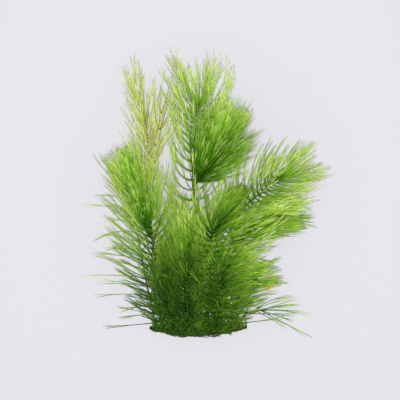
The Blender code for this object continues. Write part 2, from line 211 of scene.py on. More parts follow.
# %% List the pale shoots
add_shoots(
    Shoot("pale_shoot",
          [foot(-20), (-20.3, -65, 7), (-23.5, -48, 8), (-26.5, -23, 8), (-29, 2, 8), (-28, 19.5, 9),
           (-25.5, 32, 10), (-24.5, 41, 11)],
          whorls=12, leaf=(10, 24, 25), opening=(50, 50, 30), closing=(30, 14, 0),
          lean=((-0.3, 0.1, 0), (-0.4, 0.1, 0), (-0.6, 0.1, 0), (-0.7, 0.1, 0), (0.1, 0.1, 0)),
          first=0.1, in_whorl=6, crowding=1.05, tint=PALE, stem=(0.55, 0.3)),
    Shoot("pale_side_shoot",
          [(-29, 4, 8), (-30.8, 7, 7.6), (-31, 15, 7), (-30.6, 22, 7.3), (-31.8, 31, 7.7), (-33.5, 39, 8),
           (-35.5, 46, 8)],
          whorls=22, leaf=(30, 29, 28), opening=(56, 33, 18), closing=(38, 14, 4),
          lean=((-0.3, 0, 0), (-0.05, 0.1, 0), (0.18, 0.1, 0)), first=0.1, in_whorl=3, crowding=1.0,
          scatter=9.0, tint=PALE, stem=(0.25, 0.15)),
)

# %% [markdown]
# ## The lower right side
#
# Below the right shoot lies its branch, and below that a short shoot whose leaves are all combed to the
# right. A few of their ends have died and turned brown. Painting them would need a picture, so the shoot
# names the place instead, and every leaf end that happens to fall in it withers.

# %% List the shoots of the lower right side
add_shoots(
    Shoot("right_low_shoot",
          [(10.5, -30, 16), (13.5, -28, 13.5), (17, -21.5, 10), (23, -16, 9), (28.5, -13, 9),
           (31.5, -12, 9)],
          whorls=20, leaf=(27, 27, 24), opening=(66, 56, 46), closing=(44, 30, 16),
          lean=((0.35, -0.14, 0),), first=0.1, in_whorl=10, light=(-0.35,)),
    Shoot("low_right_shoot",
          [foot(10.5), (10.7, -66, 10), (12.5, -57.5, 16), (15, -50.5, 18), (18, -46, 18),
           (21.5, -43.5, 18)],
          whorls=14, leaf=(12, 20, 21), opening=(65, 64, 46), closing=(30, 38, 22),
          lean=((0.3, 0.15, 0), (0.5, -0.1, 0), (0.7, -0.35, 0)), in_whorl=8, crowding=1.3, light=(0.12,),
          withered=((33.5, -47.0, 2.2),)),
)

# %% [markdown]
# ## The thick of the plant
#
# Four shorter shoots fill the middle. Hardly a leaf of theirs can be told apart, and a plain dark shape
# could stand in for them, but it would show between the leaves of the others and from the sides. So they
# are grown in full.

# %% List the inner shoots
add_shoots(
    Shoot("inner_right_shoot",
          [foot(2.5), (2.7, -65, 11), (4.5, -54, 20), (6.5, -44, 24), (8.5, -34.5, 25)],
          whorls=24, leaf=(12, 23, 26), opening=(65, 80, 70), closing=(45, 62, 60),
          lean=((0.3, 0, 0), (0.6, 0, 0)), in_whorl=11, crowding=1.4, light=(0.02, 0.1)),
    Shoot("inner_middle_shoot",
          [foot(-10.2), (-10.4, -65, 11), (-11.5, -54, 21), (-11.5, -42.5, 25), (-11, -31.5, 26),
           (-10.2, -23, 26)],
          whorls=28, leaf=(12, 20, 26), opening=(65, 60, 38), closing=(30, 22, 4), lean=((0, 0.15, 0),),
          in_whorl=11, crowding=1.3, parting=(0.5, 1.0), light=(-0.25, -0.25, 0.05)),
    Shoot("inner_left_shoot",
          [foot(-17), (-17.2, -65, 10), (-20.5, -54, 18), (-21.5, -43.5, 21), (-21, -36, 22)],
          whorls=24, leaf=(12, 20, 18), opening=(65, 60, 40), closing=(30, 22, 2), lean=((-0.1, 0.15, 0),),
          crowding=1.4, light=(-0.12,)),
    Shoot("middle_shoot",
          [foot(-13.5), (-13.8, -66, 9), (-16, -48, 12), (-16.5, -28, 12), (-16.3, -20, 12),
           (-16, -13, 12)],
          whorls=18, leaf=(12, 23, 22), opening=(65, 58, 40), closing=(30, 20, 4), lean=((0.05, 0.1, 0),),
          in_whorl=6, crowding=1.5, light=(-0.1,)),
)

# %% [markdown]
# ## The lowest shoots
#
# At the lower left and right a few long thin leaves lie out along the surface. Their shoots have only
# three leaves to a whorl. The creeping stem comes last. Its own leaves are short and old, and they lean
# the way that the shoots grow, because leaves square to it would stick out of the plant's end like roots.

# %% List the lowest shoots
add_shoots(
    Shoot("low_left_shoot",
          [foot(-27), (-27.6, -66, 7), (-29.5, -57, 7.5), (-32.5, -43, 7), (-35, -29, 7), (-37.5, -17, 7),
           (-39.5, -6, 7)],
          whorls=14, leaf=(25, 35, 30), opening=(85, 62, 48), closing=(80, 85, 95),
          lean=((-0.4, 0, 0), (-0.2, 0.1, 0)), first=0.06, in_whorl=3, crowding=1.0, parting=(0.4,),
          stem=(0.45, 0.25), thickness=0.85, scatter=12.0, light=(0.2, 0.1)),
    Shoot("trailing_shoot",
          [foot(14), (14.6, -66.5, 6.5), (17, -62, 6.5), (22, -59, 6.5), (27, -59, 6.5)],
          whorls=5, leaf=(22, 31), opening=(75, 30), closing=(50, 12), lean=((0.1, -0.2, 0),), first=0.2,
          in_whorl=3, stem=(0.45, 0.25), thickness=0.85, light=(0.15,)),
    Shoot("creeping_stem",
          [foot(FOOT_LEFT), foot(-20), foot(-10), foot(0), foot(9), foot(FOOT_RIGHT)],
          whorls=30, leaf=(8, 12, 12, 9, 5), opening=(35,), closing=(30,),
          lean=((-0.6, 1.3, 0.4), (-0.7, 1.3, 0.4), (-1.6, 1.3, 0.4)), first=0.0, in_whorl=8, crowding=1.0,
          parting=(0.0,), tint=OLD, stem=(0.6, 0.6), light=(-0.2,)),
)

# %% [markdown]
# ## Stem lines
#
# A living stem bends smoothly. Blender's own curves would draw one through the points, but the leaves
# need to know where they are on it. So the points are joined by cubics here, and the line is then read at
# even steps along its length, because leaves are placed by length.

# %% Draw a smooth line through a stem's points
CURVE_STEPS = 24
STEM_STEPS = 240
NO_LENGTH = 1e-9


def unit(vectors):
    """Each vector divided by its length."""
    return vectors / np.maximum(np.linalg.norm(vectors, axis=-1, keepdims=True), NO_LENGTH)


def stem_line(points):
    """The line through the points at STEM_STEPS even steps along it, and its length.

    From b to c, with the neighbours a and d, it is half of
    2b + (c - a) t + (2a - 5b + 4c - d) t^2 + (3b - a - 3c + d) t^3, where t goes from 0 to 1.
    Its direction at b is then that from a to c.
    """
    points = np.array(points, float) - PLANT_MIDDLE
    ends = np.vstack([2 * points[0] - points[1], points, 2 * points[-1] - points[-2]])
    t = np.linspace(0, 1, CURVE_STEPS, endpoint=False)[:, None]
    curve = np.vstack([
        0.5 * (2 * b + (c - a) * t + (2 * a - 5 * b + 4 * c - d) * t**2 + (3 * b - a - 3 * c + d) * t**3)
        for a, b, c, d in zip(ends[:-3], ends[1:-2], ends[2:-1], ends[3:])
    ] + [points[-1:]])
    lengths = np.concatenate([[0], np.cumsum(np.linalg.norm(np.diff(curve, axis=0), axis=1))])
    even = np.linspace(0.0, lengths[-1], STEM_STEPS)
    return np.stack([np.interp(even, lengths, curve[:, k]) for k in range(3)], axis=1), lengths[-1]


print("stem in all:", round(sum(stem_line(shoot.points)[1] for shoot in SHOOTS)), "mm")

# %% [markdown]
# ## How a leaf bends
#
# A leaf starts almost square to the stem and bends round until it nearly follows it. Its direction is
# therefore an angle that falls along the leaf, in the plane of the stem and the spoke that the leaf grows
# from. A bone chain or a physics run could bend it too, but an angle for each step is all it takes, and
# it gives the same leaf each time.
#
# A picked plant sags a little under its own weight. Its lowest leaves meet the surface that it lies on,
# and are bent along it.

# %% Bend the leaves' centre lines
LEAF_STEPS = 8
LEAF_RADIUS = 0.235
FIRST_FORK, SECOND_FORK, FORK_EASE = 0.36, 0.6, 0.15
BEND_POWER = 0.7
PRESS_SOFTNESS = 2.0


def leaf_lines(root, axis, spoke, length, opening, closing, lean, arms):
    """Centre lines of many leaves, each with LEAF_STEPS pieces.

    The angle to the stem's axis is opening + (closing - opening) * share^BEND_POWER. The lean grows with
    the share of the leaf's length, and each arm's own vector is added past its fork. A height h above the
    surface becomes (h + hypot(h, softness)) / 2, which never falls below it, and the level step makes up
    the length.
    """
    share = (np.arange(LEAF_STEPS) + 0.5) / LEAF_STEPS
    angle = np.radians(opening[:, None] + (closing - opening)[:, None] * share**BEND_POWER)[..., None]
    way = np.cos(angle) * axis[:, None] + np.sin(angle) * spoke[:, None] + share[:, None] * lean[:, None]
    for fork, arm in zip((FIRST_FORK, SECOND_FORK), arms):
        way = way + np.clip((share - fork) / FORK_EASE, 0, 1)[:, None] * arm[:, None]
    way = unit(way)
    step = (length / LEAF_STEPS)[:, None]
    free = root[:, 2:] - LEAF_RADIUS + np.pad(np.cumsum(way[..., 2] * step, axis=1), ((0, 0), (1, 0)))
    lift = 0.5 * (free + np.hypot(free, PRESS_SOFTNESS))
    lift = np.maximum(lift - (lift - free)[:, :1], 0)
    forward = np.sqrt(np.maximum(step**2 - np.diff(lift, axis=1) ** 2, 0))[..., None]
    level = np.cumsum(unit(way[..., :2]) * forward, axis=1)
    level = root[:, None, :2] + np.pad(level, ((0, 0), (1, 0), (0, 0)))
    return np.concatenate([level, (lift + LEAF_RADIUS)[..., None]], axis=2)


print("a leaf forks at", FIRST_FORK, "and", SECOND_FORK, "of its length")

# %% [markdown]
# ## Where the leaves stand
#
# Leaves stand in whorls, which are rings around the stem. Even steps between them would be simplest, but
# a stem goes on stretching as it ages, so the whorls are far apart low down and crowd at the growing tip.
# What a shoot states at even steps is read off between them for each whorl.

# %% Space the whorls
GROWN_SHARE = 0.95


def whorl_shares(shoot):
    """Where the whorls sit, as shares of the stem: the steps between them shrink towards the tip."""
    step = np.linspace(0, 1, shoot.whorls)
    return shoot.first + (1 - shoot.first) * (1 - (1 - step) ** shoot.crowding)


def stated(values, share):
    """Values stated at even steps from the foot to the last grown whorl, read at each share."""
    values = np.array(values, float).reshape(len(values), -1)
    steps = np.linspace(0, GROWN_SHARE, len(values))
    return np.stack([np.interp(share, steps, column) for column in values.T], axis=1).squeeze()


print("the tall shoot's last whorls:", whorl_shares(SHOOTS[0])[-3:].round(4).tolist(), "of its stem")

# %% [markdown]
# A whorl has three to thirteen leaves, spread round the stem with a little disorder. They could be put
# there one by one in a loop. Instead each quantity is one array with a row for each leaf, which is both
# shorter to write and a hundred times faster.

# %% Root the leaves
SPOKE_SCATTER = 0.12
ROOT_DEPTH = 0.5


def leaf_places(shoot, line, rng):
    """One row for each leaf: its root, the stem's direction there, the spoke it grows along, its share.

    The leaves of a whorl are spread evenly over the angle turn. Taking half the parting times the sine of
    twice the angle off it draws them to the stem's two sides. A root is sunk to ROOT_DEPTH of the radius.
    """
    share = np.repeat(whorl_shares(shoot), shoot.in_whorl)
    count = len(share)
    along = np.minimum((share * (STEM_STEPS - 1)).astype(int), STEM_STEPS - 1)
    axis = unit(np.gradient(line, axis=0))[along]
    level = unit(np.cross(axis, [0.0, 0.0, 1.0]))
    rise = np.cross(level, axis)
    turn = np.repeat(rng.uniform(0, 2 * np.pi, shoot.whorls), shoot.in_whorl)
    turn = turn + 2 * np.pi * np.arange(count) / shoot.in_whorl + rng.normal(0, SPOKE_SCATTER, count)
    turn = turn - 0.5 * stated(shoot.parting, share) * np.sin(2 * turn)
    spoke = np.cos(turn)[:, None] * level + np.sin(turn)[:, None] * rise
    return line[along] + ROOT_DEPTH * shoot.stem[0] * spoke, axis, spoke, share


print("leaves in all:", sum(shoot.whorls * shoot.in_whorl for shoot in SHOOTS))

# %% [markdown]
# ## Forks
#
# A leaf forks in two, and each arm forks again, so it has four tips. The forks could be modelled as
# joints, but a joint has many small faces and there are thousands of leaves. Instead all four tips are
# drawn from the stem with the same rule, and share their line up to a fork. So only the first keeps its
# whole length: the others start at the fork that they part at, inside the leaf that carries them.

# %% Fork the leaves
FORK_SPREAD = (0.05, 0.14)
ARMS = [(1, 1, 0), (-1, 0, 1), (1, -1, 0), (-1, 0, -1)]
ARM_STARTS = [0, 3, 5, 5]
ARM_REACH = (0.88, 1.0)
YOUNG_OPENING, YOUNG_LENGTH = 25.0, 0.88
LENGTH_RANGE, LENGTH_SKEW = (0.58, 0.54), 1.2
OPENING_SCATTER = 4.0
DROOP = -0.3


def grow(shoot, line, rng):
    """The leaves' shares of the stem, the way across each leaf, and every arm's lines with its first step.

    An arm's row in ARMS says how much of three random vectors it takes: the first fork's, and the two
    second forks'. Past GROWN_SHARE of the stem the leaves are young: shorter, and not yet open. Lengths
    are drawn from LENGTH_RANGE, and DROOP makes every leaf sag.
    """
    root, axis, spoke, share = leaf_places(shoot, line, rng)
    count = len(share)
    youth = np.clip((share - GROWN_SHARE) / (1 - GROWN_SHARE), 0, 1)
    size = stated(shoot.leaf, share) * (1 - (1 - YOUNG_LENGTH) * youth)
    size = size * (LENGTH_RANGE[0] + LENGTH_RANGE[1] * rng.uniform(0, 1, count) ** LENGTH_SKEW)
    opening = stated(shoot.opening, share) * (1 - youth) + YOUNG_OPENING * youth
    opening = opening + rng.normal(0, OPENING_SCATTER, count)
    closing = stated(shoot.closing, share) + rng.normal(0, shoot.scatter, count)
    lean = np.broadcast_to(stated(shoot.lean, share), (count, 3)) + [0, 0, DROOP]
    first, inner, outer = unit(rng.normal(0, 1, (3, count, 3))) * rng.uniform(*FORK_SPREAD, (3, count, 1))
    arms = []
    for (side, inner_side, outer_side), start in zip(ARMS, ARM_STARTS):
        second = inner_side * inner + outer_side * outer
        reach = size * rng.uniform(*ARM_REACH, count)
        arm = leaf_lines(root, axis, spoke, reach, opening, closing, lean, (side * first, second))
        arms.append((arm, start))
    return share, np.cross(axis, spoke), arms


print(len(ARMS), "tips to a leaf, which start at its steps", ARM_STARTS)

# %% [markdown]
# ## The leaves' skins
#
# A leaf is half a millimetre thick, about a pixel in the picture. Blender could give a curve a round
# section, but three sides are enough here: a triangle is carried along the centre line and shrinks to a
# point.
#
# A map with two axes colours it. Across the map runs the leaf's tone, from shaded and old to lit and
# young, and up the map runs the place along the leaf. Every leaf then has its own shade of the same
# pattern.

# %% Carry a triangle along many lines at once
LEAF_SIDES = 3
MAP_WIDTH = 0.006


def needle_faces(rings):
    """One needle's quads from ring to ring, and its triangles round the point and over the root."""
    ring = LEAF_SIDES * np.arange(rings)[:, None]
    here, there = np.arange(LEAF_SIDES), (np.arange(LEAF_SIDES) + 1) % LEAF_SIDES
    near, far = ring[:-1], ring[1:]
    quads = np.stack([near + here, near + there, far + there, far + here], axis=-1).reshape(-1, 4)
    last = LEAF_SIDES * (rings - 1)
    point = np.full(LEAF_SIDES, rings * LEAF_SIDES)
    return quads, np.vstack([np.stack([last + here, last + there, point], axis=1), here[::-1]])


def needle_skins(lines, across, radii, tone, place):
    """Closed needles around many centre lines, each ending in a point.

    At each point of a line the section is a triangle in the plane square to the line: corner k sits at
    radius * (cos a_k * side + sin a_k * up), where side is the across vector made square to the line.
    """
    count, rings = len(lines), lines.shape[1] - 1
    way = unit(np.gradient(lines, axis=1))
    side = unit(across[:, None] - (across[:, None] * way).sum(-1, keepdims=True) * way)
    up = np.cross(way, side)
    corner = 2 * np.pi * np.arange(LEAF_SIDES) / LEAF_SIDES
    spread = np.cos(corner)[:, None] * side[:, :, None] + np.sin(corner)[:, None] * up[:, :, None]
    skin = lines[:, :-1, None] + radii[:, :-1, None, None] * spread[:, :-1]
    verts = np.concatenate([skin.reshape(count, -1, 3), lines[:, -1:]], axis=1)
    tones = tone[:, :-1, None] + MAP_WIDTH * np.array([-1, 0, 1])
    places = np.broadcast_to(place[:-1, None], (count, rings, LEAF_SIDES))
    coords = np.stack([tones, places], axis=-1).reshape(count, -1, 2)
    tips = np.stack([tone[:, -1], np.full(count, place[-1])], axis=-1)[:, None]
    coords = np.concatenate([coords, tips], axis=1)
    quads, tris = needle_faces(rings)
    first = np.arange(count)[:, None, None] * (rings * LEAF_SIDES + 1)
    return (verts.reshape(-1, 3), coords.reshape(-1, 2),
            (first + quads).reshape(-1, 4), (first + tris).reshape(-1, 3))


print("faces of a whole needle:", [len(faces) for faces in needle_faces(LEAF_STEPS)])

# %% [markdown]
# ## Light and shade on the leaves
#
# Leaves low on the plant are old and dark, those near the growing tips are young and bright, and no two
# are quite alike. The lamp can't show that, because it lights them all alike, so the shade in the crowd
# at the foot and the light on the tips and outer leaves are painted into the colour. A colour for each
# leaf by hand would take days, so the painted tone follows from where the leaf is, with a little scatter
# from leaf to leaf.

# %% Work out the daylight
SHADE_CENTRE, SHADE_WIDTH = np.array([-7.8, -22.25]) - PLANT_MIDDLE[:2], 11.0
OUTER_HALF, OUTER_LIFT = 16.0, 0.8


def daylight(points):
    """Painted daylight: from 0, painted deep shade in the crowd at the plant's foot, to 1 at its tips.

    An S-curve of the height up the plant, which counts as higher the further a point is out to either
    side, so leaves out at the sides are painted as lit.
    """
    outer = np.maximum(np.abs(points[..., 0] - SHADE_CENTRE[0]) - OUTER_HALF, 0)
    return 1 / (1 + np.exp((SHADE_CENTRE[1] - points[..., 1] - OUTER_LIFT * outer) / SHADE_WIDTH))


foot_and_tips = np.array([[0.0, FOOT_Y], [0.0, -FOOT_Y]])
print("daylight at the foot and the tips:", daylight(foot_and_tips).round(2).tolist())

# %% [markdown]
# The map is shared out across: stems on its left, then a narrow band for withered ends, then the leaves.
# Three maps would do as well, but one is enough for a mesh whose parts have different materials. A leaf's
# own tone moves it sideways in the leaves' share. An arm with a dead end is moved into the band instead,
# whose colours run from green to brown.

# %% Tone the leaves and skin them
# The tone runs from painted shade at 0 to painted light at 1.
DARKEST_TONE, TONE_RANGE, TONE_SCATTER = 0.04, 0.8, 0.08
THICK_END, THIN_END = 1.2, 0.35
MAP_EDGE = 0.01
STEM_MAP_END, WITHERED_MAP, LEAF_MAP_START = 0.16, 0.21, 0.26
LEAF_SHARE = np.arange(LEAF_STEPS + 1) / LEAF_STEPS
LEAF_TAPER = THICK_END + (THIN_END - THICK_END) * LEAF_SHARE


def withered_ends(shoot, lines):
    """Which of the lines end in one of the shoot's withered places, seen from above."""
    dead = np.zeros(len(lines), bool)
    for x, y, radius in shoot.withered:
        dead |= np.hypot(*(lines[:, -1, :2] + PLANT_MIDDLE[:2] - [x, y]).T) < radius
    return dead[:, None]


def leaf_skins(shoot, shares, across, arms, rng):
    """Needles round every arm, thinner to the tip, toned by painted daylight with a leaf-to-leaf scatter.
    """
    own = (stated(shoot.light, shares) + rng.normal(0, TONE_SCATTER, len(shares)))[:, None]
    radius = shoot.thickness * LEAF_RADIUS * LEAF_TAPER
    place = MAP_EDGE + (1 - 2 * MAP_EDGE) * LEAF_SHARE
    skins, dead_ends = [], 0
    for lines, start in arms:
        lines = lines[:, start:]
        tone = np.clip(DARKEST_TONE + TONE_RANGE * daylight(lines) + own, 0.0, 1.0)
        tone = LEAF_MAP_START + MAP_EDGE + (1 - LEAF_MAP_START - 2 * MAP_EDGE) * tone
        dead = withered_ends(shoot, lines)
        tone = np.where(dead, WITHERED_MAP, tone)
        dead_ends += dead.sum()
        radii = np.broadcast_to(radius[start:], lines.shape[:2])
        skins.append(needle_skins(lines, across, radii, tone, place[start:]))
    if shoot.withered:
        print(shoot.name, "has", dead_ends, "withered leaf ends")
    return skins


print("a leaf is", round(2 * LEAF_RADIUS * THICK_END, 2), "mm thick at its root")

# %% [markdown]
# ## Stems
#
# A stem is thicker than a leaf, so it is a tube with ten sides. A bevelled curve could do it, with a
# radius at each point, but its map only says how far along it a point is, and this one has to hold more
# than that.

# %% Carry a circle along a stem
STEM_SIDES = 10


def tube_skin(line, radii, tone, place):
    """A closed tube around one line: circles square to it, and a point at each end."""
    rings = len(line)
    way = unit(np.gradient(line, axis=0))
    side = unit(np.cross(way, [0.0, 0.0, 1.0]))
    up = np.cross(way, side)
    angle = 2 * np.pi * np.arange(STEM_SIDES) / STEM_SIDES
    spread = np.cos(angle)[:, None] * side[:, None] + np.sin(angle)[:, None] * up[:, None]
    verts = np.vstack([(line[:, None] + radii[:, None, None] * spread).reshape(-1, 3), line[:1], line[-1:]])
    ripple = MAP_WIDTH * np.cos(angle)
    coords = np.stack([tone[:, None] + ripple, place[:, None] + ripple], axis=-1).reshape(-1, 2)
    coords = np.vstack([coords, [tone[0], place[0]], [tone[-1], place[-1]]])
    ring = STEM_SIDES * np.arange(rings - 1)[:, None]
    here, there = np.arange(STEM_SIDES), (np.arange(STEM_SIDES) + 1) % STEM_SIDES
    after = ring + STEM_SIDES
    quads = np.stack([ring + here, ring + there, after + there, after + here], axis=-1)
    foot_point, tip_point, last = rings * STEM_SIDES, rings * STEM_SIDES + 1, STEM_SIDES * (rings - 1)
    tris = np.vstack([np.stack([there, here, np.full(STEM_SIDES, foot_point)], axis=1),
                      np.stack([last + here, last + there, np.full(STEM_SIDES, tip_point)], axis=1)])
    return verts, coords, quads.reshape(-1, 4), tris


print("points round and along a stem:", STEM_SIDES, "and", STEM_STEPS)

# %% [markdown]
# Where a whorl grows out of the stem, the stem swells. The swellings could be beads set on a plain tube,
# but their seams would show. Here the tube's own radius rises and falls. Its map holds how near the next
# whorl is, so the colour of the swellings follows as well.

# %% Swell the stem at its whorls
NODE_SWELLING, NODE_LENGTH = 0.18, 0.6
END_FLAT = 0.02


def stem_skin(shoot, line, length):
    """A shoot's stem: tapered towards its tip, with a swelling at every whorl and rounded ends.

    A swelling is exp(-d^2), with d the distance to the whorl over NODE_LENGTH. Towards an end the radius
    falls as the root of the distance to it, but never to nothing, which END_FLAT sees to.
    """
    share = np.linspace(0, 1, len(line))
    apart = np.abs(share[:, None] - whorl_shares(shoot)).min(axis=1) * length / NODE_LENGTH
    node = np.exp(-apart**2)
    radii = np.interp(share, [0, 1], shoot.stem) * (1 + NODE_SWELLING * node)
    to_end = np.minimum(share, 1 - share) * length / shoot.stem[0]
    radii = radii * np.sqrt(np.clip(to_end, END_FLAT, 1))
    # By the daylight, the stem is painted in shade at the foot and in light at the tips.
    tone = MAP_EDGE + (STEM_MAP_END - 2 * MAP_EDGE) * daylight(line)
    return tube_skin(line, radii, tone, MAP_EDGE + (1 - 2 * MAP_EDGE) * node)


print("a stem is", f"{NODE_SWELLING:.0%}", "thicker at a whorl")

# %% [markdown]
# ## Meshes
#
# The arrays go into a mesh in one call for each kind of value, where adding leaves one by one would take
# minutes. A shoot's stem and leaves are one mesh with two materials, because the leaves grow out of the
# stem.

# %% Put arrays into a mesh
PATTERN_MAP = "OFBake"


def joined(skins):
    """Several skins as one, the numbers in their faces moved up by the corners that come before."""
    starts = np.cumsum([0] + [len(skin[0]) for skin in skins[:-1]])
    return (np.vstack([skin[0] for skin in skins]), np.vstack([skin[1] for skin in skins]),
            np.vstack([skin[2] + start for skin, start in zip(skins, starts)]),
            np.vstack([skin[3] + start for skin, start in zip(skins, starts)]))


def make_piece(name, skins, materials):
    """An object that rides on the plant, with one material for each of its skins."""
    verts, coords, quads, tris = joined(skins)
    mesh = bpy.data.meshes.new(name)
    mesh.vertices.add(len(verts))
    mesh.vertices.foreach_set("co", (MILLIMETRE * verts).astype(np.float32).ravel())
    corners = np.concatenate([quads.ravel(), tris.ravel()]).astype(np.int32)
    mesh.loops.add(len(corners))
    mesh.loops.foreach_set("vertex_index", corners)
    starts = np.concatenate([4 * np.arange(len(quads)), 4 * len(quads) + 3 * np.arange(len(tris))])
    mesh.polygons.add(len(starts))
    mesh.polygons.foreach_set("loop_start", starts.astype(np.int32))
    slots = [np.repeat(np.arange(len(skins)), [len(skin[k]) for skin in skins]) for k in (2, 3)]
    mesh.polygons.foreach_set("material_index", np.concatenate(slots).astype(np.int32))
    pattern = mesh.uv_layers.new(name=PATTERN_MAP)
    pattern.uv.foreach_set("vector", coords[corners].astype(np.float32).ravel())
    mesh.update(calc_edges=True)
    mesh.shade_smooth()
    for material in materials:
        mesh.materials.append(material)
    piece = bpy.data.objects.new(name, mesh)
    bpy.context.scene.collection.objects.link(piece)
    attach(piece, "root")
    print(name, "has", 2 * len(quads) + len(tris), "triangles")
    return piece


# %% [markdown]
# ## Sums in a material
#
# A material is a tree of nodes, and its nodes could be added and joined by mouse or one by one in code. A
# sum then takes five lines. The small class below wraps one number of the tree, so that a Python sum
# makes its Math nodes.

# %% Wrap a number so that sums make nodes
class Value:
    """A number in a material's node tree. Reckoning with it adds Math nodes."""

    def __init__(self, tree, socket):
        self.tree, self.socket = tree, socket

    def reckon(self, operation, *terms, clamp=False):
        """A new value: the operation on the terms, which are values or plain numbers."""
        node = self.tree.nodes.new("ShaderNodeMath")
        node.operation, node.use_clamp = operation, clamp
        for place, term in enumerate(terms):
            if isinstance(term, Value):
                self.tree.links.new(term.socket, node.inputs[place])
            else:
                node.inputs[place].default_value = term
        return Value(self.tree, node.outputs[0])

    def __sub__(self, other):
        return self.reckon("SUBTRACT", self, other)

    def __rsub__(self, other):
        return self.reckon("SUBTRACT", other, self)

    def __mul__(self, other):
        return self.reckon("MULTIPLY", self, other)

    def __truediv__(self, other):
        return self.reckon("DIVIDE", self, other)

    def __rtruediv__(self, other):
        return self.reckon("DIVIDE", other, self)

    __rmul__ = __mul__

    def clamped(self):
        """The value, kept between 0 and 1."""
        return self.reckon("ADD", self, 0.0, clamp=True)


# %% [markdown]
# ## Finishes
#
# Every finish here is a principled shader, whose gloss is the same all over and whose colour is worked
# out. One could be wired by hand in the shader editor, but there are eight. So this class holds a
# material, and its one method node adds any kind of node. Settings such as a ramp's stops come first,
# because some of them change which sockets a node has.

# %% Hold a material and add its nodes
# A new stop is put here and then moved. A Mix node has sockets for every type of data, and the numbers
# below are those for colours.
NEW_STOP = 0.5
MIX_SHARE, MIX_LOW, MIX_HIGH, MIX_COLOUR = 0, 6, 7, 2


def set_stops(ramp, stops):
    """Gives a colour ramp its stops, each a place from 0 to 1 and a colour."""
    while len(ramp.elements) < len(stops):
        ramp.elements.new(NEW_STOP)
    for element, (place, colour) in zip(ramp.elements, stops):
        element.position = place
        element.color = (*colour, 1.0)


class Finish:
    """A material and the means to add nodes to it."""

    def __init__(self, name, roughness, specular):
        self.material = bpy.data.materials.new(name)
        self.material.use_nodes = True
        self.tree = self.material.node_tree
        self.shader = self.tree.nodes["Principled BSDF"]
        self.shader.inputs["Roughness"].default_value = roughness
        self.shader.inputs["Specular IOR Level"].default_value = specular

    def node(self, kind, settings, feeds):
        """A node of a type: its settings first, then what feeds its sockets, by their names or numbers."""
        node = self.tree.nodes.new(kind)
        for key, setting in settings.items():
            if key == "stops":
                set_stops(node.color_ramp, setting)
            else:
                setattr(node, key, setting)
        for socket, source in feeds.items():
            self.feed(node.inputs[socket], source)
        return node

    def feed(self, socket, source):
        """Links a socket to a value or to another socket, or sets it to a number or a colour."""
        if isinstance(source, Value):
            source = source.socket
        if isinstance(source, bpy.types.NodeSocket):
            self.tree.links.new(source, socket)
        else:
            socket.default_value = source

    def pattern(self):
        """The two numbers in the pattern's map: tone across it, and place up it."""
        uv = self.node("ShaderNodeUVMap", {"uv_map": PATTERN_MAP}, {}).outputs[0]
        parts = self.node("ShaderNodeSeparateXYZ", {}, {0: uv})
        return Value(self.tree, parts.outputs[0]), Value(self.tree, parts.outputs[1])

    def ramp(self, value, stops):
        """A colour that follows a value through stops."""
        return self.node("ShaderNodeValToRGB", {"stops": stops}, {"Fac": value}).outputs["Color"]

    def mix(self, share, low, high):
        """The colour low where share is 0 and high where it is 1."""
        feeds = {MIX_SHARE: share, MIX_LOW: low, MIX_HIGH: high}
        return self.node("ShaderNodeMix", {"data_type": "RGBA"}, feeds).outputs[MIX_COLOUR]

    def painted(self, colour):
        """The finished material, with this colour over its surface."""
        self.feed(self.shader.inputs["Base Color"], colour)
        return self.material


# %% [markdown]
# ## Leaf colours
#
# A hornwort leaf is darkest where it joins the stem, partly painted shade, and fades to a thin pale tip.
# Old leaves in the crowd at the foot are nearly black green, partly from age and partly painted shade,
# and young ones in painted light are yellow green. One ramp from green to yellow would lose the tips, so
# the finish is three ramps along the leaf: a shaded one for old leaves, a half-lit one, and a lit one for
# young leaves. They are mixed by its tone, which is painted shade and light. The same map keeps a narrow
# band for withered ends.
#
# Real leaves let light through. Under soft light from above a lighter tip, painted light, shows that
# well enough.

# %% Colour the leaves
# The tone where the half-lit ramp is reached: painted shade below it, painted light above it.
HALF_LIT_TONE = 0.45
WITHERED_EDGE, WITHERED_SHARPNESS = 0.5 * (WITHERED_MAP + LEAF_MAP_START), 100.0
WITHERED = [(0.0, (0.05, 0.14, 0.005)), (0.5, (0.16, 0.20, 0.01)), (0.75, (0.42, 0.26, 0.03)),
            (1.0, (0.60, 0.42, 0.10))]


def leaf_finish(name, shaded_old, half_lit, lit_young):
    """Leaves: painted shade and light, as ramps along the leaf for the tones 0, the half-lit tone and 1,
    and one for withered ends.
    """
    finish = Finish(name, roughness=0.6, specular=0.05)
    across, along = finish.pattern()
    tone = (across - LEAF_MAP_START) / (1 - LEAF_MAP_START)
    # Shares of the painted half-lit and lit colours.
    less_shaded = (tone / HALF_LIT_TONE).clamped()
    lit = ((tone - HALF_LIT_TONE) / (1 - HALF_LIT_TONE)).clamped()
    dead = ((WITHERED_EDGE - across) * WITHERED_SHARPNESS).clamped()
    green = finish.mix(less_shaded, finish.ramp(along, shaded_old), finish.ramp(along, half_lit))
    green = finish.mix(lit, green, finish.ramp(along, lit_young))
    return finish.painted(finish.mix(dead, green, finish.ramp(along, WITHERED)))
